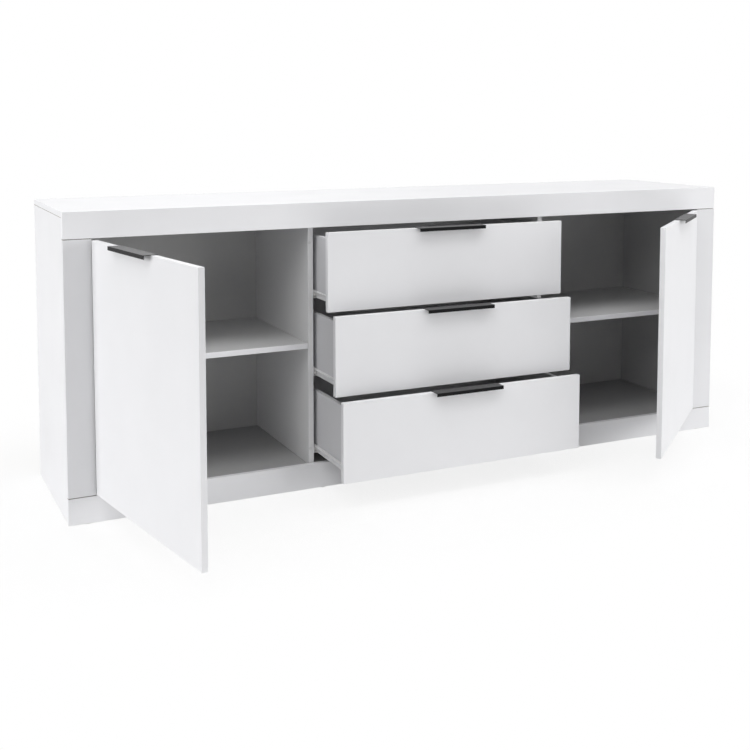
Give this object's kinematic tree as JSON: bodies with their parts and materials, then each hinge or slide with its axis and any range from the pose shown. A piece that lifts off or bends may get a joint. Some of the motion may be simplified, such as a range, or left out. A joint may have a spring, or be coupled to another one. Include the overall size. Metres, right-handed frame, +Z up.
{
  "type": "sideboard buffet",
  "caption": "Long low white storage cabinet with a hinged door and shelf at each end and a stack of wide drawers in the middle, opened by slim black edge handles.",
  "frame": {"origin": "floor level under the middle of the carcass, at the underside of the centre foot", "axes": "+X to the right along the length, +Y to the back, +Z up"},
  "size_m": [2.06, 1.0277, 0.79],
  "materials": {
    "white_board": "matt white laminated chipboard with matching edge band",
    "drawer_board": "white foil-wrapped drawer board",
    "back_sheet": "thin white-faced hardboard",
    "black_handle": "matt black powder coat",
    "white_steel": "white epoxy coated steel",
    "zinc": "bright zinc plate",
    "nylon": "off-white nylon",
    "foot_plastic": "black moulded plastic",
    "bumper": "clear-grey soft bumper",
    "beech": "bare beech dowel"
  },
  "bodies": {
    "carcass": {"back_nails": "zinc", "back_panels": "back_sheet", "cabinet_runners": "white_steel", "cam_locks": "zinc", "carcass_screws": "zinc", "centre_foot": "foot_plastic", "divider_left": "white_board", "divider_right": "white_board", "door_bumpers": "bumper", "dowels": "beech", "fascia_rail": "white_board", "floor_glides": "nylon", "floor_panel": "white_board", "hinge_arms": "zinc", "hinge_blocks": "white_board", "pilaster_left": "white_board", "pilaster_right": "white_board", "plinth_rail": "white_board", "shelf_left": "white_board", "shelf_pins": "zinc", "shelf_right": "white_board", "side_panel_left": "white_board", "side_panel_right": "white_board", "top_panel": "white_board"},
    "door_left": {"door_left": "white_board", "door_left_handle": "black_handle", "door_left_hinge_cups": "zinc", "door_left_screws": "zinc"},
    "door_right": {"door_right": "white_board", "door_right_handle": "black_handle", "door_right_hinge_cups": "zinc", "door_right_screws": "zinc"},
    "drawer_bottom": {"drawer_bottom_back": "drawer_board", "drawer_bottom_bottom": "back_sheet", "drawer_bottom_front": "white_board", "drawer_bottom_handle": "black_handle", "drawer_bottom_runners": "white_steel", "drawer_bottom_screws": "zinc", "drawer_bottom_sides": "drawer_board"},
    "rear_rollers_bottom": {"drawer_bottom_rollers": "nylon"},
    "front_rollers_bottom": {"front_rollers_bottom": "nylon"},
    "drawer_middle": {"drawer_middle_back": "drawer_board", "drawer_middle_bottom": "back_sheet", "drawer_middle_front": "white_board", "drawer_middle_handle": "black_handle", "drawer_middle_runners": "white_steel", "drawer_middle_screws": "zinc", "drawer_middle_sides": "drawer_board"},
    "rear_rollers_middle": {"drawer_middle_rollers": "nylon"},
    "front_rollers_middle": {"front_rollers_middle": "nylon"},
    "drawer_top": {"drawer_top_back": "drawer_board", "drawer_top_bottom": "back_sheet", "drawer_top_front": "white_board", "drawer_top_handle": "black_handle", "drawer_top_runners": "white_steel", "drawer_top_screws": "zinc", "drawer_top_sides": "drawer_board"},
    "rear_rollers_top": {"drawer_top_rollers": "nylon"},
    "front_rollers_top": {"front_rollers_top": "nylon"}
  },
  "joints": [
    {"name": "door_left_hinge", "type": "hinge", "parent": "carcass", "child": "door_left", "pos_m": [-0.963, -0.2235, 0.396], "axis": [0, 0, -1], "range_deg": [-80, 25]},
    {"name": "door_right_hinge", "type": "hinge", "parent": "carcass", "child": "door_right", "pos_m": [0.963, -0.2235, 0.396], "axis": [0, 0, 1], "range_deg": [-40.5, 64.5]},
    {"name": "drawer_bottom_slide", "type": "slide", "parent": "carcass", "child": "drawer_bottom", "axis": [0, -1, 0], "range_m": [-0.2, 0.1]},
    {"name": "front_rollers_bottom_spin", "type": "hinge", "parent": "carcass", "child": "front_rollers_bottom", "pos_m": [0, -0.196, 0.1046], "axis": [1, 0, 0], "continuous": true},
    {"name": "rear_rollers_bottom_spin", "type": "hinge", "parent": "drawer_bottom", "child": "rear_rollers_bottom", "pos_m": [0, -0.0195, 0.104], "axis": [1, 0, 0], "continuous": true},
    {"name": "drawer_middle_slide", "type": "slide", "parent": "carcass", "child": "drawer_middle", "axis": [0, -1, 0], "range_m": [-0.15, 0.15]},
    {"name": "front_rollers_middle_spin", "type": "hinge", "parent": "carcass", "child": "front_rollers_middle", "pos_m": [0, -0.196, 0.3206], "axis": [1, 0, 0], "continuous": true},
    {"name": "rear_rollers_middle_spin", "type": "hinge", "parent": "drawer_middle", "child": "rear_rollers_middle", "pos_m": [0, 0.0305, 0.32], "axis": [1, 0, 0], "continuous": true},
    {"name": "drawer_top_slide", "type": "slide", "parent": "carcass", "child": "drawer_top", "axis": [0, -1, 0], "range_m": [-0.1, 0.2]},
    {"name": "front_rollers_top_spin", "type": "hinge", "parent": "carcass", "child": "front_rollers_top", "pos_m": [0, -0.196, 0.5366], "axis": [1, 0, 0], "continuous": true},
    {"name": "rear_rollers_top_spin", "type": "hinge", "parent": "drawer_top", "child": "rear_rollers_top", "pos_m": [0, 0.0805, 0.536], "axis": [1, 0, 0], "continuous": true}
  ],
  "couplings": [
    {"joint": "front_rollers_bottom_spin", "follows": "drawer_bottom_slide", "rad_per_m": 142.86},
    {"joint": "rear_rollers_bottom_spin", "follows": "drawer_bottom_slide", "rad_per_m": 142.86},
    {"joint": "front_rollers_middle_spin", "follows": "drawer_middle_slide", "rad_per_m": 142.86},
    {"joint": "rear_rollers_middle_spin", "follows": "drawer_middle_slide", "rad_per_m": 142.86},
    {"joint": "front_rollers_top_spin", "follows": "drawer_top_slide", "rad_per_m": 142.86},
    {"joint": "rear_rollers_top_spin", "follows": "drawer_top_slide", "rad_per_m": 142.86}
  ]
}
